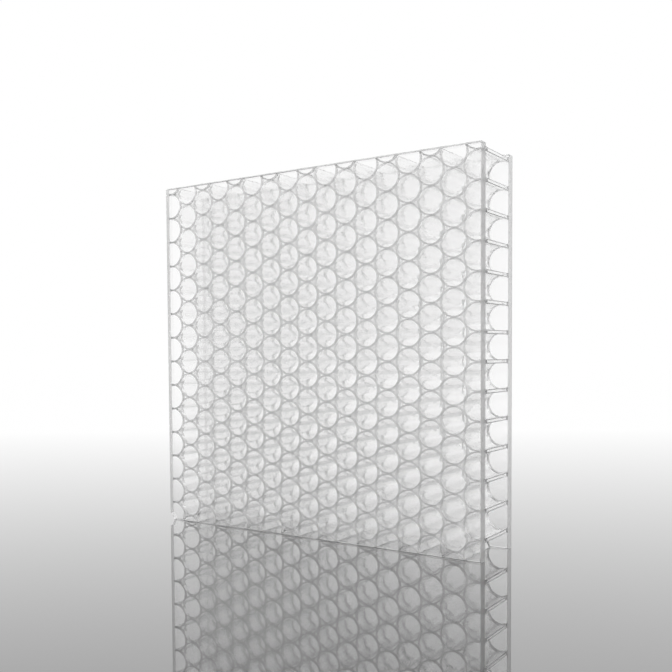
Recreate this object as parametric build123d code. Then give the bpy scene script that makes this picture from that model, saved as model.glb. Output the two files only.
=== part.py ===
from build123d import *
import math
import os

# Overall sizes of the panel, which stands on its long edge
panel_width = 99.4
panel_height = 97.3
panel_thickness = 19.0

# Face sheets, and the small corner lost from the front one
sheet_thickness = 2.3
chip_width = 1.5
chip_height = 1.8

# Round tubes of the core: columns of touching tubes, each column half a tube off the last
tube_pitch = 7.0
tube_wall = 0.2
weld_depth = 0.14

# Clear resin on the inner face of each sheet, in which the tube ends stand:
# the film under the tubes, its level inside them and in the gaps between them,
# and the taper that it climbs up each bore
resin_film = 0.1
resin_depth = 0.3
resin_gap_depth = 1.2
taper_height = 0.8
taper_reach = 0.1

# Where the saw met the core: the first column's distance from the left edge,
# the lowest centre of that column above the bottom edge, and the least slice of a bore
# that a cut tube still holds
first_column_inset = 0.8
first_tube_height = 1.4
least_slice = 0.4

# Worked out from the sizes above
column_pitch = tube_pitch * math.sqrt(3) / 2
tube_radius = tube_pitch / 2 + weld_depth
bore_radius = tube_radius - tube_wall
front_face = -panel_thickness / 2
back_face = panel_thickness / 2
front_inner_face = front_face + sheet_thickness
back_inner_face = back_face - sheet_thickness


def panel_outline():
    """The panel's rectangle in width and height, standing on zero."""
    return Pos(0, panel_height / 2) * Rectangle(panel_width, panel_height)


def depth_plane(depth, towards=-1):
    """An upright plane at a depth, whose normal points to the front, or to the back for 1."""
    return Plane(origin=(0, depth, 0), x_dir=(1, 0, 0), z_dir=(0, towards, 0))


def slab(outline, near, far):
    """A flat outline made solid between two depths, the near one in front."""
    return extrude(depth_plane(far) * outline, amount=far - near)


def column_places():
    """Distance from the middle of the width to the centres of each column."""
    first = first_column_inset - panel_width / 2
    reach = panel_width / 2 + bore_radius - least_slice
    count = math.floor((reach - first) / column_pitch) + 1
    return [first + column_pitch * index for index in range(count)]


def tube_heights(column):
    """Heights of the tube centres in a column, cut tubes at both edges included."""
    reach = bore_radius - least_slice
    lowest = first_tube_height + (tube_pitch / 2) * (column % 2)
    lowest -= tube_pitch * math.floor((lowest + reach) / tube_pitch)
    count = math.floor((panel_height + reach - lowest) / tube_pitch) + 1
    return [lowest + tube_pitch * index for index in range(count)]


def bore_is_in_panel(across, height):
    """Whether the bore at a centre reaches into the panel, past a corner too."""
    beside = max(abs(across) - panel_width / 2, 0)
    above = max(height - panel_height, -height, 0)
    return math.hypot(beside, above) + least_slice < bore_radius


def tube_centres(column):
    """Centres of a column's tubes, as places across the width and up the height."""
    across = column_places()[column]
    heights = [height for height in tube_heights(column) if bore_is_in_panel(across, height)]
    return [Pos(across, height) for height in heights]


def all_centres():
    """Centres of every tube, column after column."""
    centres = []
    for column in range(len(column_places())):
        centres.extend(tube_centres(column))
    return centres


def tube_outline():
    """A circle with six narrow flats, where it is welded to the six tubes around it."""
    flats = RegularPolygon(radius=tube_pitch / 2, side_count=6, major_radius=False)
    return Circle(tube_radius) & flats


def tube_column(column):
    """The separate tubes of one column, cut flush where they meet the panel's edges."""
    front_end = front_inner_face + resin_film
    back_end = back_inner_face - resin_film
    ring = tube_outline() - Circle(bore_radius)
    tubes = []
    for centre in tube_centres(column):
        section = panel_outline() & (centre * ring)
        tubes.extend(slab(section, front_end, back_end).solids())
    return Compound(children=tubes)


def front_sheet():
    """The front sheet, with its lower left corner chipped off."""
    left = -panel_width / 2
    chip = Polyline((left, 0), (left + chip_width, 0), (left, chip_height), close=True)
    outline = panel_outline() - make_face(chip)
    return slab(outline, front_face, front_inner_face)


def back_sheet():
    """The back sheet, a plain rectangle."""
    return slab(panel_outline(), back_inner_face, back_face)


def resin_cup():
    """Resin inside one tube's end: a disc, and a taper that climbs the bore and thins out."""
    top = resin_depth + taper_height
    outline = Polyline(
        (0, resin_film),
        (bore_radius, resin_film),
        (bore_radius, top),
        (bore_radius - taper_reach, resin_depth),
        (0, resin_depth),
        close=True,
    )
    return revolve(Plane.XZ * make_face(outline), Axis.Z)


def bond(inner_face, towards):
    """The resin on one sheet: its film, the fill between the tubes and a cup in each tube."""
    centres = all_centres()
    block = slab(panel_outline(), front_face, back_face)
    film_top = inner_face + towards * resin_film
    film = slab(panel_outline(), min(inner_face, film_top), max(inner_face, film_top))
    gap_top = inner_face + towards * resin_gap_depth
    gaps = panel_outline() - [centre * tube_outline() for centre in centres]
    fill = slab(gaps, min(film_top, gap_top), max(film_top, gap_top)).solids()
    cup = depth_plane(inner_face, towards) * resin_cup()
    cups = []
    for centre in centres:
        place = centre.position
        cups.extend((Pos(place.X, 0, place.Y) * cup & block).solids())
    return film + [*fill, *cups]


def main():
    """Write each sub-part to its own file."""
    parts = {
        "front_sheet": front_sheet(),
        "back_sheet": back_sheet(),
        "front_bond": bond(front_inner_face, 1),
        "back_bond": bond(back_inner_face, -1),
    }
    for column in range(len(column_places())):
        parts[f"tube_column_{column + 1:02d}"] = tube_column(column)
    os.makedirs("parts", exist_ok=True)
    for name, shape in parts.items():
        export_step(shape, f"parts/{name}.step")


main()
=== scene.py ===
import math

import bmesh
import bpy
import numpy as np
from bpy.props import FloatProperty, FloatVectorProperty, IntProperty, PointerProperty
from mathutils import Matrix, Vector


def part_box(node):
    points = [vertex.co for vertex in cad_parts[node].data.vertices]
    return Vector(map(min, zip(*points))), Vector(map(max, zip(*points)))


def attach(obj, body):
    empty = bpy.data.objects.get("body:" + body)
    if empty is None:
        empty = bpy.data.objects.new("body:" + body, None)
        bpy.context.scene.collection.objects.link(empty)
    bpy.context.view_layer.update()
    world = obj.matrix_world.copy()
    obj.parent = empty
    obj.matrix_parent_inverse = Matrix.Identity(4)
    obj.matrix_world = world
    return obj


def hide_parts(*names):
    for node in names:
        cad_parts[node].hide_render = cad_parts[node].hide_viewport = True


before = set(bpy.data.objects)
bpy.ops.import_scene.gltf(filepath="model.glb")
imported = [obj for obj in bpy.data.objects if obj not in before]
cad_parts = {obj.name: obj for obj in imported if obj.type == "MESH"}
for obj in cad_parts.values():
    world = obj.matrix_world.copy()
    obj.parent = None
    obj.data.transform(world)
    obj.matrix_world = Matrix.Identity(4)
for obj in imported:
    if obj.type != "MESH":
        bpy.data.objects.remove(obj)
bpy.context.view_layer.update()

bl_info = {
    "name": "Ring Cell Panel",
    "version": (1, 0, 0),
    "blender": (4, 5, 0),
    "location": "View3D > Sidebar > Ring Panel",
    "description": "A clear sandwich panel sample with a core of round tubes, on a pale studio floor",
    "category": "Add Mesh",
}

MM = 0.001
FRONT_LOW, FRONT_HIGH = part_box("front_sheet")
BACK_LOW, BACK_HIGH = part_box("back_sheet")

WHITE = (1.0, 1.0, 1.0, 1.0)
SHEET_IOR = 1.49
TUBE_IOR = 1.49
RESIN_IOR = 1.5

# How close two points are when they merge, and how near a cut's plane a sawn face lies
MERGE_DISTANCE = 0.0015 * MM
CUT_DISTANCE = 0.002 * MM


# Sizes and colours


class SheetSettings(bpy.types.PropertyGroup):
    """Sizes and finish of the panel's two face sheets."""

    width: FloatProperty(
        name="Panel Width",
        description="Overall width of the panel along X",
        default=FRONT_HIGH.x - FRONT_LOW.x,
        min=0.01,
        unit="LENGTH",
        subtype="DISTANCE",
    )
    height: FloatProperty(
        name="Panel Height",
        description="Overall height of the standing panel",
        default=FRONT_HIGH.z,
        min=0.01,
        unit="LENGTH",
        subtype="DISTANCE",
    )
    depth: FloatProperty(
        name="Panel Thickness",
        description="Distance between the outer faces of the two sheets",
        default=BACK_HIGH.y - FRONT_LOW.y,
        min=0.005,
        unit="LENGTH",
        subtype="DISTANCE",
    )
    sheet: FloatProperty(
        name="Sheet Thickness",
        description="Thickness of each face sheet",
        default=FRONT_HIGH.y - FRONT_LOW.y,
        min=0.0005,
        unit="LENGTH",
        subtype="DISTANCE",
    )
    bevel: FloatProperty(
        name="Edge Bevel",
        description="Width of the fine bevel that the saw and a wipe of abrasive left on each long edge",
        default=0.12 * MM,
        min=0.0,
        unit="LENGTH",
        subtype="DISTANCE",
    )
    chip_width: FloatProperty(
        name="Chip Width",
        description="Width of the chip at the front sheet's lower left corner",
        default=1.5 * MM,
        min=0.0,
        unit="LENGTH",
        subtype="DISTANCE",
    )
    chip_height: FloatProperty(
        name="Chip Height",
        description="Height of the chip at the front sheet's lower left corner",
        default=1.8 * MM,
        min=0.0,
        unit="LENGTH",
        subtype="DISTANCE",
    )
    colour: FloatVectorProperty(
        name="Sheet Colour",
        description="Tint of the clear face sheets",
        default=WHITE,
        size=4,
        min=0.0,
        max=1.0,
        subtype="COLOR",
    )


class TubeSettings(bpy.types.PropertyGroup):
    """Sizes and finish of the tubes of the core."""

    pitch: FloatProperty(
        name="Tube Pitch",
        description="Distance between the axes of touching tubes",
        default=7.0 * MM,
        min=0.001,
        unit="LENGTH",
        subtype="DISTANCE",
    )
    wall: FloatProperty(
        name="Tube Wall",
        description="Thickness of a tube's wall",
        default=0.2 * MM,
        min=0.00005,
        unit="LENGTH",
        subtype="DISTANCE",
    )
    weld: FloatProperty(
        name="Weld Depth",
        description="How far each tube is flattened where it touches a neighbour",
        default=0.14 * MM,
        min=0.0,
        unit="LENGTH",
        subtype="DISTANCE",
    )
    inset: FloatProperty(
        name="First Column Inset",
        description="Distance of the first column's axes from the panel's left edge",
        default=0.8 * MM,
        unit="LENGTH",
        subtype="DISTANCE",
    )
    first_height: FloatProperty(
        name="First Tube Height",
        description="Height of the lowest axis of the first column",
        default=1.4 * MM,
        unit="LENGTH",
        subtype="DISTANCE",
    )
    least_slice: FloatProperty(
        name="Least Slice",
        description="A cut tube is kept when its bore reaches this far into the panel",
        default=0.4 * MM,
        unit="LENGTH",
        subtype="DISTANCE",
    )
    clearance: FloatProperty(
        name="Clearance",
        description="Hairline gap between a tube's flats and the middle of its weld",
        default=0.02 * MM,
        min=0.00001,
        unit="LENGTH",
        subtype="DISTANCE",
    )
    bite: FloatProperty(
        name="Bite",
        description="How deep the cured resin keys into the sheets and the tubes",
        default=0.005 * MM,
        min=0.000001,
        unit="LENGTH",
        subtype="DISTANCE",
    )
    sides: IntProperty(
        name="Tube Sides",
        description="Flat sides round each tube, a multiple of six so that the welds keep one side each",
        default=18,
        min=6,
        step=6,
    )
    loss: FloatProperty(
        name="Tube Light Loss",
        description="How fast light fades on its way through the tubes, per metre",
        default=37.0,
        min=0.0,
    )
    colour: FloatVectorProperty(
        name="Tube Colour",
        description="Tint of the clear tubes",
        default=WHITE,
        size=4,
        min=0.0,
        max=1.0,
        subtype="COLOR",
    )


class ResinSettings(bpy.types.PropertyGroup):
    """Sizes and finish of the clear resin that holds the tube ends."""

    film: FloatProperty(
        name="Resin Film",
        description="Depth of the resin under the tube ends",
        default=0.1 * MM,
        min=0.00003,
        unit="LENGTH",
        subtype="DISTANCE",
    )
    depth: FloatProperty(
        name="Resin Depth",
        description="Depth of the resin in the middle of a bore",
        default=0.3 * MM,
        min=0.0001,
        unit="LENGTH",
        subtype="DISTANCE",
    )
    gap_depth: FloatProperty(
        name="Gap Depth",
        description="Depth of the resin in the three sided gaps between tubes",
        default=1.2 * MM,
        min=0.0001,
        unit="LENGTH",
        subtype="DISTANCE",
    )
    climb: FloatProperty(
        name="Climb",
        description="How far the resin climbs a bore's wall above its middle depth",
        default=0.8 * MM,
        min=0.0,
        unit="LENGTH",
        subtype="DISTANCE",
    )
    reach: FloatProperty(
        name="Climb Reach",
        description="Distance from the wall over which the climb falls to a third",
        default=0.08 * MM,
        min=0.00005,
        unit="LENGTH",
        subtype="DISTANCE",
    )
    loss: FloatProperty(
        name="Resin Light Loss",
        description="How fast light fades on its way through the resin, per metre",
        default=37.0,
        min=0.0,
    )
    colour: FloatVectorProperty(
        name="Resin Colour",
        description="Tint of the cured resin",
        default=WHITE,
        size=4,
        min=0.0,
        max=1.0,
        subtype="COLOR",
    )


class StageSettings(bpy.types.PropertyGroup):
    """Floor, light and camera."""

    # Painted shade: the floor's colour, which also sets how strongly it reflects, is darkest in front of
    # the panel, in place of the backdrop's light falling off towards the camera; the far colour is the lit
    # end
    near_floor_shade: FloatVectorProperty(
        name="Near Floor Shade Colour",
        description="Colour of the floor in front of the panel",
        default=(0.26, 0.26, 0.26, 1.0),
        size=4,
        min=0.0,
        max=1.0,
        subtype="COLOR",
    )
    far_floor: FloatVectorProperty(
        name="Far Floor Colour",
        description="Colour of the floor where it meets the backdrop",
        default=WHITE,
        size=4,
        min=0.0,
        max=1.0,
        subtype="COLOR",
    )
    # Where the floor's painted shade lies, and how far it fades to the lit far colour
    floor_near: FloatProperty(
        name="Near Distance",
        description="Distance in front of the panel at which the floor is darkest",
        default=0.135,
        min=0.0,
        unit="LENGTH",
        subtype="DISTANCE",
    )
    floor_aside: FloatProperty(
        name="Distance Aside",
        description="Distance to the left of the view's middle at which the floor is darkest",
        default=0.1,
        unit="LENGTH",
        subtype="DISTANCE",
    )
    floor_fade: FloatProperty(
        name="Fade Length",
        description="Length over which the floor brightens to its far colour",
        default=0.436,
        min=0.05,
        unit="LENGTH",
        subtype="DISTANCE",
    )
    floor_stretch: FloatProperty(
        name="Fade Stretch",
        description="How many times wider the floor's dark patch is than it is deep",
        default=4.0,
        min=1.0,
    )
    floor_radius: FloatProperty(
        name="Floor Radius",
        description="Distance from the panel to the floor's rim",
        default=6.0,
        min=1.0,
        unit="LENGTH",
        subtype="DISTANCE",
    )
    room: FloatVectorProperty(
        name="Room Colour",
        description="Light that comes from the camera's side of the room",
        default=(0.88, 0.88, 0.88, 1.0),
        size=4,
        min=0.0,
        max=1.0,
        subtype="COLOR",
    )
    focal_length: FloatProperty(
        name="Focal Length",
        description="Focal length of the lens in millimetres on a 36 mm frame",
        default=44.82,
        min=1.0,
    )
    lens_shift: FloatProperty(
        name="Lens Shift",
        description="How far the lens is shifted up, as a share of the frame",
        default=0.0775,
    )
    camera_yaw: FloatProperty(
        name="Camera Yaw",
        description="Turn of the view about the vertical from straight along +Y",
        default=-0.5853,
        unit="ROTATION",
        subtype="ANGLE",
    )
    camera_pitch: FloatProperty(
        name="Camera Pitch",
        description="Tilt of the view above the horizon",
        default=-0.0421,
        unit="ROTATION",
        subtype="ANGLE",
    )
    camera_roll: FloatProperty(
        name="Camera Roll",
        description="Roll of the camera about its own view",
        default=-0.0057,
        unit="ROTATION",
        subtype="ANGLE",
    )
    camera_place: FloatVectorProperty(
        name="Camera Place",
        description="Where the camera stands",
        default=(0.1282, -0.18826, 0.04916),
        size=3,
        unit="LENGTH",
        subtype="TRANSLATION",
    )


class RingPanelSettings(bpy.types.PropertyGroup):
    """All settings of the ring cell panel."""

    sheets: PointerProperty(type=SheetSettings, name="Sheets", description="The two face sheets")
    tubes: PointerProperty(type=TubeSettings, name="Tubes", description="The tubes of the core")
    resin: PointerProperty(type=ResinSettings, name="Resin", description="The resin on the sheets")
    stage: PointerProperty(type=StageSettings, name="Stage", description="Floor, light and camera")


# Shapes


def tube_places(sheets, tubes):
    """Column number, place across and height of every tube axis, as three arrays.

    Column k stands k * pitch * sqrt(3) / 2 from the first, and odd columns are half a pitch lower. A place
    is kept when the bore's circle about it reaches into the panel's rectangle by the least slice.
    """
    step = tubes.pitch * math.sqrt(3) / 2
    columns = np.arange(math.ceil((sheets.width + 2 * tubes.pitch) / step))
    rows = np.arange(-1, math.ceil(sheets.height / tubes.pitch) + 2)
    column, row = (part.ravel() for part in np.meshgrid(columns, rows, indexing="ij"))
    across = tubes.inset - sheets.width / 2 + step * column
    height = tubes.first_height + tubes.pitch * (row - (column % 2) / 2)
    beside = np.maximum(np.abs(across) - sheets.width / 2, 0)
    above = np.maximum(np.maximum(height - sheets.height, -height), 0)
    bore = tubes.pitch / 2 + tubes.weld - tubes.wall
    kept = np.hypot(beside, above) + tubes.least_slice < bore
    return column[kept], across[kept], height[kept]


def flat_round(angles, radius, apothem):
    """Distance from a tube's axis to a wall that is round but for six flats.

    The flats face 30, 90, 150 degrees and so on. At an angle a from the middle of the nearest flat the
    distance is the smaller of the radius and apothem / cos(a).
    """
    from_flat = np.mod(angles, math.pi / 3) - math.pi / 6
    return np.minimum(radius, apothem / np.cos(from_flat))


def grid_quads(rows, columns, closed_rows, count=1):
    """Corner numbers of the quads of a grid whose columns close on themselves, for count grids in a row.

    Point (i, j) has number i * columns + j, and each grid starts rows * columns after the last one.
    """
    i = np.arange(rows if closed_rows else rows - 1)
    j = np.arange(columns)
    i, j = (part.ravel() for part in np.meshgrid(i, j, indexing="ij"))
    i_next = (i + 1) % rows
    j_next = (j + 1) % columns
    this_row = i * columns
    next_row = i_next * columns
    quads = np.stack((this_row + j, this_row + j_next, next_row + j_next, next_row + j), 1)
    starts = np.arange(count) * rows * columns
    return (quads[None] + starts[:, None, None]).reshape(-1, 4)


def slow_noise(across, height, grain, seed):
    """A smooth unevenness over the panel, mostly between -1 and 1.

    It is the mean of six crossing sine waves, each with 0.6 to 1.7 turns to a grain, times 1.6.
    """
    random = np.random.default_rng(seed)
    count = 6
    turns = random.uniform(0, 2 * math.pi, count)
    waves = random.uniform(0.6, 1.7, count) * 2 * math.pi / grain
    starts = random.uniform(0, 2 * math.pi, count)
    along = across[..., None] * np.cos(turns) + height[..., None] * np.sin(turns)
    return np.sin(along * waves + starts).mean(-1) * 1.6


def tube_points(across, height, sheets, tubes, resin, seed):
    """Points of separate tubes, shaped tube by profile corner by side.

    A rectangular profile, outer front, outer back, inner back, inner front, is carried round each axis. The
    outer wall follows flat_round, and the inner wall is a circle one wall inside the outer radius. Every
    axis leans by up to a quarter of the clearance, as in a real bundle.
    """
    random = np.random.default_rng(seed)
    angles = np.arange(tubes.sides) * 2 * math.pi / tubes.sides
    apothem = tubes.pitch / 2 - tubes.clearance
    outer = flat_round(angles, tubes.pitch / 2 + tubes.weld, apothem)
    inner = np.full(tubes.sides, tubes.pitch / 2 + tubes.weld - tubes.wall)
    radii = np.stack((outer, outer, inner, inner))
    reach = sheets.depth / 2 - sheets.sheet - resin.film
    depths = np.array((-reach, reach, reach, -reach))
    lean = random.uniform(-0.25, 0.25, (len(across), 2)) * tubes.clearance
    side = np.sign(depths)
    points = np.empty((len(across), 4, tubes.sides, 3))
    points[..., 0] = across[:, None, None] + radii * np.cos(angles) + (lean[:, None, 0] * side)[..., None]
    points[..., 1] = depths[:, None]
    points[..., 2] = height[:, None, None] + radii * np.sin(angles) + (lean[:, None, 1] * side)[..., None]
    return points


def resin_heights(across, height, sheets, tubes, resin, seed):
    """Points of the resin's surface over one sheet, shaped cell by ring by side.

    Y is the height over the sheet. Each cell is the hexagon about one tube. From its middle outwards the
    rings are: the resin in the bore, whose height over its depth is climb * exp(-distance / reach), with
    the distance from the wall; down the inner wall to the film; under the tube's end; up the outer wall;
    and out to the hexagon's rim, which three cells share. The gap's surface lies lowest in its middle. A
    wave and a ripple of a few millimetres keep any two cells from being alike.
    """
    angles = np.arange(tubes.sides) * 2 * math.pi / tubes.sides
    bite = tubes.bite
    bore = tubes.pitch / 2 + tubes.weld - tubes.wall + bite
    reach = resin.reach
    from_wall = np.array((bore, 0.5 * bore, 2.5 * reach, reach, 0.5 * reach, 0.0))
    ones = np.ones(tubes.sides)
    apothem = tubes.pitch / 2 - tubes.clearance - bite
    outside = flat_round(angles, tubes.pitch / 2 + tubes.weld - bite, apothem)
    rim = flat_round(angles, tubes.pitch, tubes.pitch / 2)
    in_gap = np.clip((rim - outside) / (rim - outside).max(), 0, 1)
    radii = np.concatenate(((bore - from_wall)[:, None] * ones, [bore * ones, outside, outside, rim]))
    points = np.empty((len(across),) + radii.shape + (3,))
    points[..., 0] = across[:, None, None] + radii * np.cos(angles)
    points[..., 2] = height[:, None, None] + radii * np.sin(angles)
    wave, wave_share = 9 * MM, 0.12
    ripple, ripple_share = 3.1 * MM, 0.1
    uneven = slow_noise(points[..., 0], points[..., 2], wave, seed)
    finer = slow_noise(points[..., 0], points[..., 2], ripple, seed + 1)
    bump = 1 + wave_share * uneven + ripple_share * finer
    low = resin.film + bite
    climb = resin.climb * np.exp(-from_wall / reach)
    swell = 0.05 * resin.depth * uneven[:, :6]
    points[:, :6, :, 1] = resin.depth + climb[:, None] * bump[:, :6] + swell
    points[:, 6:8, :, 1] = low
    sag = resin.gap_depth * (1 + 0.4 * (1 - in_gap))
    points[:, 8, :, 1] = sag * bump[:, 8] + 0.1 * resin.depth
    points[:, 9, :, 1] = sag * bump[:, 9]
    return points


def sheet_rings(outline, bevel, near, far):
    """Points of a bevelled plate, shaped ring by corner.

    The outline is carried from the near face to the far one. Each corner of the inset outline is the
    corner plus bevel * (n1 + n2) / (1 + n1 . n2), with n1 and n2 the inward normals of the sides that meet
    there.
    """
    side = np.roll(outline, -1, 0) - outline
    side /= np.linalg.norm(side, axis=1)[:, None]
    normal = np.stack((-side[:, 1], side[:, 0]), 1)
    before = np.roll(normal, 1, 0)
    inset = outline + bevel * (normal + before) / (1 + (normal * before).sum(1))[:, None]
    flat = np.stack((inset, outline, outline, inset))
    depth = np.array((near, near + bevel, far - bevel, far))
    depth = np.broadcast_to(depth[:, None], flat.shape[:2])
    return np.stack((flat[..., 0], depth, flat[..., 1]), -1)


def plate_outline(sheets, chipped):
    """Corners of a sheet, counter-clockwise from the lower left.

    The chip's break runs from one side to the other along width * sin(a) ^ 1.3 and height * cos(a) ^ 1.3,
    with a from 0 to 90 degrees, and with a seeded roughness.
    """
    w, h = sheets.width / 2, sheets.height
    corners = [(-w, 0.0), (w, 0.0), (w, h), (-w, h)]
    if chipped:
        random = np.random.default_rng(5)
        count, bulge = 7, 1.3
        t = np.linspace(0, 1, count)
        x = -w + sheets.chip_width * np.sin(t * math.pi / 2) ** bulge
        z = sheets.chip_height * np.cos(t * math.pi / 2) ** bulge
        rough = random.uniform(-0.06, 0.06, count) * sheets.chip_width * np.sin(t * math.pi)
        corners = list(zip(x + rough, z + rough)) + corners[1:]
    return np.array(corners)


# Meshes


def saw_cut(mesh, sheets):
    """Cuts a closed bmesh flush with the panel's four edges and closes each cut."""
    w, h = sheets.width / 2, sheets.height
    left = ((-w, 0, 0), (-1, 0, 0))
    right = ((w, 0, 0), (1, 0, 0))
    bottom = ((0, 0, 0), (0, 0, -1))
    top = ((0, 0, h), (0, 0, 1))
    for place, normal in (left, right, bottom, top):
        everything = mesh.verts[:] + mesh.edges[:] + mesh.faces[:]
        bmesh.ops.bisect_plane(
            mesh, geom=everything, dist=1e-8, plane_co=place, plane_no=normal, clear_outer=True
        )
        rim = [edge for edge in mesh.edges if edge.is_boundary]
        bmesh.ops.edgeloop_fill(mesh, edges=rim)


def mark_sawn(data, sheets):
    """Marks the faces on the panel's four edge planes as sawn.

    They also get the piece's second material, if it has one.
    """
    count = len(data.polygons)
    centre = np.empty(count * 3)
    normal = np.empty(count * 3)
    data.polygons.foreach_get("center", centre)
    data.polygons.foreach_get("normal", normal)
    centre, normal = centre.reshape(-1, 3), normal.reshape(-1, 3)
    straight = np.abs(normal) > 0.999
    side = (np.abs(centre[:, 0]) > sheets.width / 2 - CUT_DISTANCE) & straight[:, 0]
    ends = (centre[:, 2] < CUT_DISTANCE) | (centre[:, 2] > sheets.height - CUT_DISTANCE)
    ends &= straight[:, 2]
    sawn = side | ends
    mark = data.attributes.new("sawn", "FLOAT", "FACE")
    mark.data.foreach_set("value", sawn.astype(np.float32))
    if len(data.materials) > 1:
        data.polygons.foreach_set("material_index", sawn.astype(np.int32))


def add_piece(name, points, faces, nodes, materials, sheets, finish=None, crease=50):
    """Makes a piece from arrays of points and corner numbers, parents it under the root body and hides the
    parts that it replaces.

    Edges that turn by more than the crease, in degrees, stay sharp.
    """
    data = bpy.data.meshes.new(name)
    data.from_pydata(points.reshape(-1, 3), [], faces)
    work = bmesh.new()
    work.from_mesh(data)
    bmesh.ops.remove_doubles(work, verts=work.verts[:], dist=MERGE_DISTANCE)
    if finish:
        finish(work)
    bmesh.ops.recalc_face_normals(work, faces=work.faces[:])
    work.to_mesh(data)
    work.free()
    data.polygons.foreach_set("use_smooth", np.ones(len(data.polygons), bool))
    data.set_sharp_from_angle(angle=math.radians(crease))
    for material in materials:
        data.materials.append(material)
    mark_sawn(data, sheets)
    piece = bpy.data.objects.new(name, data)
    bpy.context.scene.collection.objects.link(piece)
    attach(piece, "root")
    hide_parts(*nodes)


def close_resin(work, base):
    """Carries the open rim of the resin's surface down to the sheet and closes it there."""
    rim = [edge for edge in work.edges if edge.is_boundary]
    made = bmesh.ops.extrude_edge_only(work, edges=rim)["geom"]
    for vert in (item for item in made if isinstance(item, bmesh.types.BMVert)):
        vert.co.y = base
    lowest = [edge for edge in made if isinstance(edge, bmesh.types.BMEdge) and edge.is_boundary]
    bmesh.ops.edgeloop_fill(work, edges=lowest)


# Materials


def new_material(name):
    """An empty node material with its Principled shader and output."""
    material = bpy.data.materials.new(name)
    material.use_nodes = True
    tree = material.node_tree
    return material, tree, tree.nodes["Principled BSDF"]


def new_group(name, inputs, outputs):
    """A shader node group with its input and output nodes.

    Inputs are given as name, socket type and default, and outputs as name and socket type.
    """
    group = bpy.data.node_groups.new(name, "ShaderNodeTree")
    for label, kind, default in inputs:
        socket = group.interface.new_socket(name=label, in_out="INPUT", socket_type=kind)
        socket.default_value = default
    for label, kind in outputs:
        group.interface.new_socket(name=label, in_out="OUTPUT", socket_type=kind)
    start = group.nodes.new("NodeGroupInput")
    end = group.nodes.new("NodeGroupOutput")
    return group, start, end


def math_node(tree, operation, first, second=None, third=None, clamp=False):
    """A Math node whose operands are sockets or numbers."""
    node = tree.nodes.new("ShaderNodeMath")
    node.operation = operation
    node.use_clamp = clamp
    for slot, operand in zip(node.inputs, (first, second, third)):
        if isinstance(operand, (int, float)):
            slot.default_value = operand
        elif operand is not None:
            tree.links.new(operand, slot)
    return node.outputs[0]


def group_node(tree, maker):
    """A node in the tree that holds a group, which its maker builds on first use."""
    name = maker.__name__.removesuffix("_group").replace("_", " ").title()
    node = tree.nodes.new("ShaderNodeGroup")
    node.node_tree = bpy.data.node_groups.get(name) or maker(name)
    return node


def noise_node(tree, vector, grain, detail=3.0):
    """A Noise texture of a vector, in a grain that is a socket or a length in metres."""
    noise = tree.nodes.new("ShaderNodeTexNoise")
    noise.inputs["Detail"].default_value = detail
    tree.links.new(vector, noise.inputs["Vector"])
    tree.links.new(math_node(tree, "DIVIDE", 1.0, grain), noise.inputs["Scale"])
    return noise.outputs["Fac"]


def colour_mix(tree, factor, first, second):
    """A Mix node between two colours, each a socket or a value."""
    mix = tree.nodes.new("ShaderNodeMix")
    mix.data_type = "RGBA"
    tree.links.new(factor, mix.inputs["Factor"])
    colours = [slot for slot in mix.inputs if slot.type == "RGBA"]
    for slot, colour in zip(colours, (first, second)):
        if isinstance(colour, bpy.types.NodeSocket):
            tree.links.new(colour, slot)
        else:
            slot.default_value = colour
    return next(slot for slot in mix.outputs if slot.type == "RGBA")


def stretched_place(tree, along):
    """Object coordinates with their depth multiplied by a socket, so that a pattern runs along it."""
    place = tree.nodes.new("ShaderNodeTexCoord")
    stretch = tree.nodes.new("ShaderNodeCombineXYZ")
    stretch.inputs[0].default_value = 1.0
    stretch.inputs[2].default_value = 1.0
    tree.links.new(along, stretch.inputs[1])
    scaled = tree.nodes.new("ShaderNodeVectorMath")
    scaled.operation = "MULTIPLY"
    tree.links.new(place.outputs["Object"], scaled.inputs[0])
    tree.links.new(stretch.outputs[0], scaled.inputs[1])
    return scaled.outputs[0]


def saw_marks_group(name):
    """Node group: the marks that a saw leaves across a cut edge, with a height, mottle and colour.

    Noise of the place, stretched along the depth, in a grain and three times finer. The colour goes from
    dark to light as the coarser noise goes from a third to two thirds.
    """
    group, start, end = new_group(
        name,
        [
            ("Grain", "NodeSocketFloat", 0.35 * MM),
            ("Along", "NodeSocketFloat", 0.2),
            ("Dark", "NodeSocketColor", (0.66, 0.66, 0.66, 1.0)),
            ("Light", "NodeSocketColor", (0.86, 0.86, 0.86, 1.0)),
        ],
        [("Height", "NodeSocketFloat"), ("Mottle", "NodeSocketFloat"), ("Color", "NodeSocketColor")],
    )
    place = stretched_place(group, start.outputs["Along"])
    coarse = noise_node(group, place, start.outputs["Grain"])
    group.links.new(coarse, end.inputs["Mottle"])
    finer = math_node(group, "DIVIDE", start.outputs["Grain"], 3.0)
    group.links.new(noise_node(group, place, finer), end.inputs["Height"])
    worn = math_node(group, "MULTIPLY_ADD", coarse, 3.0, -1.0, clamp=True)
    tint = colour_mix(group, worn, start.outputs["Dark"], start.outputs["Light"])
    group.links.new(tint, end.inputs["Color"])
    return group


def sawn_frost_group(name):
    """Node group: the roughness of a piece that is smooth but for the faces marked as sawn.

    The mark, 1 on a sawn face and 0 elsewhere, times the sum of the frost and of the spread times the saw
    marks' mottle.
    """
    group, start, end = new_group(
        name,
        [("Frost", "NodeSocketFloat", 0.3), ("Spread", "NodeSocketFloat", 0.3)],
        [("Roughness", "NodeSocketFloat")],
    )
    mark = group.nodes.new("ShaderNodeAttribute")
    mark.attribute_name = "sawn"
    mottle = group_node(group, saw_marks_group).outputs["Mottle"]
    rough = math_node(group, "MULTIPLY_ADD", mottle, start.outputs["Spread"], start.outputs["Frost"])
    rough = math_node(group, "MULTIPLY", rough, mark.outputs["Fac"])
    group.links.new(rough, end.inputs["Roughness"])
    return group


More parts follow.
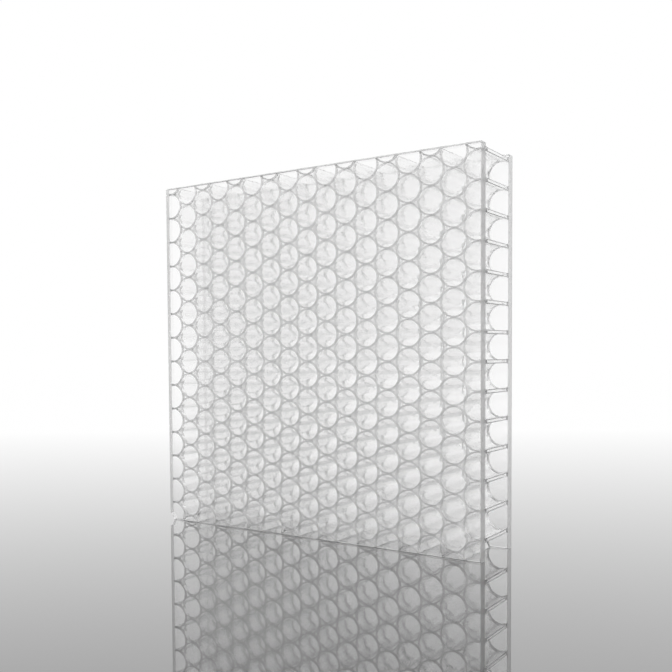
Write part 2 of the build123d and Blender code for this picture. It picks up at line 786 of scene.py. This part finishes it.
def handling_group(name):
    """Node group: what handling leaves on clear plastic, as a haze and a height between 0 and 1.

    The haze is what noise in a large grain rises above a half, four times over and up to 1, times noise in
    a grain of half a millimetre. The height is the slow noise, the waves of the cast, with a tenth as much
    fine noise.
    """
    group, start, end = new_group(
        name,
        [("Grain", "NodeSocketFloat", 14 * MM), ("Haze", "NodeSocketFloat", 0.02)],
        [("Haze", "NodeSocketFloat"), ("Height", "NodeSocketFloat")],
    )
    place = group.nodes.new("ShaderNodeTexCoord").outputs["Object"]
    slow = noise_node(group, place, start.outputs["Grain"], 2.0)
    fine = noise_node(group, place, 0.5 * MM)
    patch = math_node(group, "MULTIPLY_ADD", slow, 4.0, -2.0, clamp=True)
    patch = math_node(group, "MULTIPLY", patch, fine)
    haze = math_node(group, "MULTIPLY", patch, start.outputs["Haze"])
    group.links.new(haze, end.inputs["Haze"])
    group.links.new(math_node(group, "MULTIPLY_ADD", fine, 0.1, slow), end.inputs["Height"])
    return group


def cured_ripples_group(name):
    """Node group: the skin of resin that cured between the tubes, as a height between 0 and 1.

    Noise in a grain, less a pit round each bubble that reaches a fifth of the bubbles' spacing.
    """
    group, start, end = new_group(
        name,
        [("Grain", "NodeSocketFloat", 0.9 * MM), ("Bubbles", "NodeSocketFloat", 1.1 * MM)],
        [("Height", "NodeSocketFloat")],
    )
    place = group.nodes.new("ShaderNodeTexCoord").outputs["Object"]
    ripple = noise_node(group, place, start.outputs["Grain"])
    cells = group.nodes.new("ShaderNodeTexVoronoi")
    group.links.new(place, cells.inputs["Vector"])
    group.links.new(math_node(group, "DIVIDE", 1.0, start.outputs["Bubbles"]), cells.inputs["Scale"])
    pit = math_node(group, "MULTIPLY_ADD", cells.outputs["Distance"], -5.0, 1.0, clamp=True)
    group.links.new(math_node(group, "MULTIPLY_ADD", pit, -0.5, ripple), end.inputs["Height"])
    return group


def drawn_streaks_group(name):
    """Node group: streaks that run along the tubes, as a tube's die leaves them.

    Noise of the place across and up, stretched along the depth.
    """
    group, start, end = new_group(
        name,
        [("Grain", "NodeSocketFloat", 0.25 * MM), ("Along", "NodeSocketFloat", 0.01)],
        [("Height", "NodeSocketFloat")],
    )
    place = stretched_place(group, start.outputs["Along"])
    group.links.new(noise_node(group, place, start.outputs["Grain"]), end.inputs["Height"])
    return group


def clear_material(name, ior):
    """A clear, smooth plastic."""
    material, tree, shader = new_material(name)
    shader.inputs["IOR"].default_value = ior
    shader.inputs["Metallic"].default_value = 0.0
    shader.inputs["Roughness"].default_value = 0.0
    shader.inputs["Transmission Weight"].default_value = 1.0
    return material, tree, shader


def add_absorption(tree, loss):
    """Lets light fade by exp(-loss * distance) on its way through the plastic, the distance in metres.

    The node's own loss is its density times what its colour lacks of white, which is a half of grey.
    """
    depth = tree.nodes.new("ShaderNodeVolumeAbsorption")
    depth.inputs["Color"].default_value = (0.5, 0.5, 0.5, 1.0)
    depth.inputs["Density"].default_value = loss * 2
    tree.links.new(depth.outputs[0], tree.nodes["Material Output"].inputs["Volume"])


def sawn_material():
    """The matt, translucent skin that the saw leaves on a clear sheet.

    It covers more of what lies behind it from outside than from inside the sheet.
    """
    material, tree, shader = clear_material("Sawn Plastic", SHEET_IOR)
    shader.inputs["Transmission Weight"].default_value = 0.3
    marks = group_node(tree, saw_marks_group)
    tree.links.new(marks.outputs["Color"], shader.inputs["Base Color"])
    spread = math_node(tree, "MULTIPLY_ADD", marks.outputs["Mottle"], 0.2, 0.8)
    tree.links.new(spread, shader.inputs["Roughness"])
    cover_outside, cover_inside = 0.68, 0.5
    inside = tree.nodes.new("ShaderNodeNewGeometry").outputs["Backfacing"]
    cover = math_node(tree, "MULTIPLY_ADD", inside, cover_inside - cover_outside, cover_outside)
    tree.links.new(cover, shader.inputs["Alpha"])
    add_bump(tree, shader, marks.outputs["Height"], strength=0.4, distance=0.03 * MM)
    return material


def sheet_material(sheets):
    """Clear cast sheet: slow waves in its faces, and a faint haze where it was handled."""
    material, tree, shader = clear_material("Clear Sheet", SHEET_IOR)
    shader.inputs["Base Color"].default_value = sheets.colour
    handled = group_node(tree, handling_group)
    tree.links.new(handled.outputs["Haze"], shader.inputs["Roughness"])
    add_bump(tree, shader, handled.outputs["Height"], strength=0.5, distance=0.02 * MM)
    return material


def resin_material(resin):
    """Clear cured resin: rippled and bubbled, and frosted where the saw cut it."""
    material, tree, shader = clear_material("Clear Resin", RESIN_IOR)
    shader.inputs["Base Color"].default_value = resin.colour
    add_absorption(tree, resin.loss)
    frost = group_node(tree, sawn_frost_group)
    tree.links.new(frost.outputs["Roughness"], shader.inputs["Roughness"])
    ripples = group_node(tree, cured_ripples_group)
    add_bump(tree, shader, ripples.outputs["Height"], strength=0.5, distance=0.04 * MM)
    return material


def tube_material(tubes):
    """Clear drawn tube: streaked along its length, and frosted where the saw cut it."""
    material, tree, shader = clear_material("Clear Tube", TUBE_IOR)
    shader.inputs["Base Color"].default_value = tubes.colour
    add_absorption(tree, tubes.loss)
    frost = group_node(tree, sawn_frost_group)
    tree.links.new(frost.outputs["Roughness"], shader.inputs["Roughness"])
    streaks = group_node(tree, drawn_streaks_group)
    add_bump(tree, shader, streaks.outputs["Height"], strength=0.35, distance=0.04 * MM)
    return material


def add_bump(tree, shader, height, strength, distance):
    """A Bump node between a height and the shader's normal."""
    bump = tree.nodes.new("ShaderNodeBump")
    bump.inputs["Strength"].default_value = strength
    bump.inputs["Distance"].default_value = distance
    tree.links.new(height, bump.inputs["Height"])
    tree.links.new(bump.outputs[0], shader.inputs["Normal"])


# Operators


class RINGPANEL_OT_sheets(bpy.types.Operator):
    """Add the two clear face sheets with their bevelled, sawn edges"""

    bl_idname = "ringpanel.sheets"
    bl_label = "Face Sheets"

    def execute(self, context):
        panel = context.scene.ring_panel
        sheets = panel.sheets
        materials = (sheet_material(sheets), sawn_material())
        face = sheets.depth / 2
        inner = face - sheets.sheet
        front = ("front_sheet", True, -face, -inner)
        back = ("back_sheet", False, inner, face)
        for name, chipped, near, far in (front, back):
            outline = plate_outline(sheets, chipped)
            points = sheet_rings(outline, sheets.bevel, near, far)
            count = len(outline)
            faces = grid_quads(4, count, False).tolist()
            faces.append(list(range(count)))
            faces.append(list(range(3 * count, 4 * count)))
            add_piece(f"clear_{name}", points, faces, [name], materials, sheets, crease=30)
        return {"FINISHED"}


class RINGPANEL_OT_resin(bpy.types.Operator):
    """Add the clear resin on each sheet, which climbs every bore and fills the gaps between the tubes"""

    bl_idname = "ringpanel.resin"
    bl_label = "Resin"

    def execute(self, context):
        panel = context.scene.ring_panel
        sheets, tubes, resin = panel.sheets, panel.tubes, panel.resin
        material = resin_material(resin)
        _, across, height = tube_places(sheets, tubes)
        inner = sheets.depth / 2 - sheets.sheet
        for name, towards, seed in (("front_bond", 1, 11), ("back_bond", -1, 12)):
            points = resin_heights(across, height, sheets, tubes, resin, seed)
            points[..., 1] = towards * (points[..., 1] - inner)
            faces = grid_quads(points.shape[1], tubes.sides, False, len(across)).tolist()

            def finish(work):
                close_resin(work, towards * (-tubes.bite - inner))
                saw_cut(work, sheets)

            add_piece(f"clear_{name}", points, faces, [name], (material,), sheets, finish)
        return {"FINISHED"}


class RINGPANEL_OT_tubes(bpy.types.Operator):
    """Add the separate clear tubes of the core, one piece for each upright column"""

    bl_idname = "ringpanel.tubes"
    bl_label = "Tube Columns"

    def execute(self, context):
        panel = context.scene.ring_panel
        sheets, tubes, resin = panel.sheets, panel.tubes, panel.resin
        material = tube_material(tubes)
        column, across, height = tube_places(sheets, tubes)

        def finish(work):
            saw_cut(work, sheets)

        for number in range(column.max() + 1):
            mine = column == number
            points = tube_points(across[mine], height[mine], sheets, tubes, resin, 100 + number)
            faces = grid_quads(4, tubes.sides, True, int(mine.sum())).tolist()
            node = f"tube_column_{number + 1:02d}"
            add_piece(f"clear_{node}", points, faces, [node], (material,), sheets, finish)
        return {"FINISHED"}


class RINGPANEL_OT_stage(bpy.types.Operator):
    """Add the pale floor, the soft light and the camera"""

    bl_idname = "ringpanel.stage"
    bl_label = "Stage"

    def execute(self, context):
        stage = context.scene.ring_panel.stage
        add_floor(stage)
        add_light(stage)
        add_camera(stage)
        context.scene.view_settings.view_transform = "Standard"
        # Light passes dozens of clear walls, and each total reflection counts as a glossy bounce
        turns = 96
        cycles = context.scene.cycles
        cycles.max_bounces = turns
        cycles.transmission_bounces = turns
        cycles.glossy_bounces = turns
        cycles.diffuse_bounces = 4
        cycles.transparent_max_bounces = 16
        return {"FINISHED"}


def view_axes(stage):
    """Right, up and forward directions of the camera, rolled about the last."""
    yaw, pitch, roll = stage.camera_yaw, stage.camera_pitch, stage.camera_roll
    forward = Vector((math.sin(yaw) * math.cos(pitch), math.cos(yaw) * math.cos(pitch), math.sin(pitch)))
    right = Vector((math.cos(yaw), -math.sin(yaw), 0.0))
    up = right.cross(forward)
    rolled_right = right * math.cos(roll) + up * math.sin(roll)
    rolled_up = up * math.cos(roll) - right * math.sin(roll)
    return rolled_right, rolled_up, forward


def add_camera(stage):
    """The camera, at the photograph's place and angle."""
    data = bpy.data.cameras.new("Camera")
    data.lens = stage.focal_length
    data.sensor_width = 36.0
    data.shift_y = stage.lens_shift
    data.clip_start = 0.01
    data.clip_end = 20.0
    camera = bpy.data.objects.new("Camera", data)
    right, up, forward = view_axes(stage)
    turn = Matrix((right, up, -forward)).transposed().to_4x4()
    camera.matrix_world = Matrix.Translation(Vector(stage.camera_place)) @ turn
    bpy.context.scene.collection.objects.link(camera)
    bpy.context.scene.camera = camera


def add_floor(stage):
    """A wide flat floor, a hair below the panel's edge.

    Rings about the panel: point (i, j) lies at the floor's radius times (i / rings) ^ 3 in direction j.
    """
    rings, sides, gap = 12, 48, 0.05 * MM
    i, j = np.meshgrid(np.arange(1, rings + 1), np.arange(sides), indexing="ij")
    radius = stage.floor_radius * (i / rings) ** 3
    angle = j * 2 * math.pi / sides
    level = np.full(i.shape, -gap)
    points = np.stack((radius * np.cos(angle), radius * np.sin(angle), level), -1)
    faces = grid_quads(rings, sides, False).tolist()
    faces.append(list(range(sides)))
    data = bpy.data.meshes.new("floor")
    data.from_pydata(points.reshape(-1, 3), [], faces)
    work = bmesh.new()
    work.from_mesh(data)
    for face in work.faces:
        face.normal_update()
        if face.normal.z < 0:
            face.normal_flip()
    work.to_mesh(data)
    work.free()
    floor = bpy.data.objects.new("floor", data)
    bpy.context.scene.collection.objects.link(floor)
    data.materials.append(floor_material(stage))


def floor_material(stage):
    """A polished floor with a painted light falloff: shaded grey in front of the panel, it brightens
    steadily to the far backdrop.
    """
    material, tree, shader = new_material("Polished Floor")
    right, _, forward = view_axes(stage)
    place = tree.nodes.new("ShaderNodeTexCoord")
    mapping = tree.nodes.new("ShaderNodeMapping")
    mapping.vector_type = "TEXTURE"
    darkest = -stage.floor_near * forward - stage.floor_aside * right
    mapping.inputs["Location"].default_value = (darkest.x, darkest.y, 0.0)
    mapping.inputs["Rotation"].default_value = (0.0, 0.0, -stage.camera_yaw)
    mapping.inputs["Scale"].default_value = (stage.floor_stretch, 1.0, 1.0)
    tree.links.new(place.outputs["Object"], mapping.inputs["Vector"])
    away = tree.nodes.new("ShaderNodeVectorMath")
    away.operation = "LENGTH"
    tree.links.new(mapping.outputs[0], away.inputs[0])
    fade = tree.nodes.new("ShaderNodeMapRange")
    fade.inputs["From Max"].default_value = stage.floor_fade
    tree.links.new(away.outputs["Value"], fade.inputs["Value"])
    # Painted light falloff: the base colour goes from painted shade in front of the panel to white at the
    # backdrop, and sets how strongly the floor reflects
    tint = colour_mix(tree, fade.outputs[0], stage.near_floor_shade, stage.far_floor)
    tree.links.new(tint, shader.inputs["Base Color"])
    shader.inputs["Metallic"].default_value = 0.92
    shader.inputs["Roughness"].default_value = 0.005
    return material


def add_light(stage):
    """A soft white room: bright behind and above the panel, and dimmer on the camera's side.

    The light of a direction goes smoothly from the room's colour to white as the direction's cosine to the
    aim goes from dim_at to white_at. The aim is level with the view and raised. The camera sees white.
    """
    rise, dim_at, white_at = 0.35, -0.3, 0.7
    world = bpy.data.worlds.new("Studio")
    bpy.context.scene.world = world
    world.use_nodes = True
    tree = world.node_tree
    background = tree.nodes["Background"]
    direction = tree.nodes.new("ShaderNodeTexCoord")
    dot = tree.nodes.new("ShaderNodeVectorMath")
    dot.operation = "DOT_PRODUCT"
    _, _, forward = view_axes(stage)
    dot.inputs[1].default_value = Vector((forward.x, forward.y, rise)).normalized()
    tree.links.new(direction.outputs["Generated"], dot.inputs[0])
    spread = tree.nodes.new("ShaderNodeMapRange")
    spread.interpolation_type = "SMOOTHSTEP"
    spread.inputs["From Min"].default_value = dim_at
    spread.inputs["From Max"].default_value = white_at
    tree.links.new(dot.outputs["Value"], spread.inputs["Value"])
    room = colour_mix(tree, spread.outputs[0], stage.room, WHITE)
    seen = tree.nodes.new("ShaderNodeLightPath").outputs["Is Camera Ray"]
    tree.links.new(colour_mix(tree, seen, room, WHITE), background.inputs["Color"])
    background.inputs["Strength"].default_value = 1.0


class RINGPANEL_PT_sidebar(bpy.types.Panel):
    """Sizes, colours and buttons of the ring cell panel"""

    bl_idname = "RINGPANEL_PT_sidebar"
    bl_label = "Ring Cell Panel"
    bl_space_type = "VIEW_3D"
    bl_region_type = "UI"
    bl_category = "Ring Panel"

    def draw(self, context):
        panel = context.scene.ring_panel
        for label, group, operator in (
            ("Sheets", panel.sheets, RINGPANEL_OT_sheets),
            ("Tubes", panel.tubes, RINGPANEL_OT_tubes),
            ("Resin", panel.resin, RINGPANEL_OT_resin),
            ("Stage", panel.stage, RINGPANEL_OT_stage),
        ):
            box = self.layout.box()
            box.label(text=label)
            for name in type(group).__annotations__:
                box.prop(group, name)
            box.operator(operator.bl_idname)


CLASSES = (
    SheetSettings,
    TubeSettings,
    ResinSettings,
    StageSettings,
    RingPanelSettings,
    RINGPANEL_OT_sheets,
    RINGPANEL_OT_resin,
    RINGPANEL_OT_tubes,
    RINGPANEL_OT_stage,
    RINGPANEL_PT_sidebar,
)


def register():
    """Registers the classes and the panel's settings on the scene."""
    for cls in CLASSES:
        bpy.utils.register_class(cls)
    bpy.types.Scene.ring_panel = PointerProperty(
        type=RingPanelSettings, name="Ring Cell Panel", description="Settings of the ring cell panel"
    )


def unregister():
    """Takes back what register added."""
    del bpy.types.Scene.ring_panel
    for cls in reversed(CLASSES):
        bpy.utils.unregister_class(cls)


def main():
    """Builds the panel and its stage."""
    register()
    bpy.ops.ringpanel.sheets()
    bpy.ops.ringpanel.tubes()
    bpy.ops.ringpanel.resin()
    bpy.ops.ringpanel.stage()


if __name__ == "__main__":
    main()
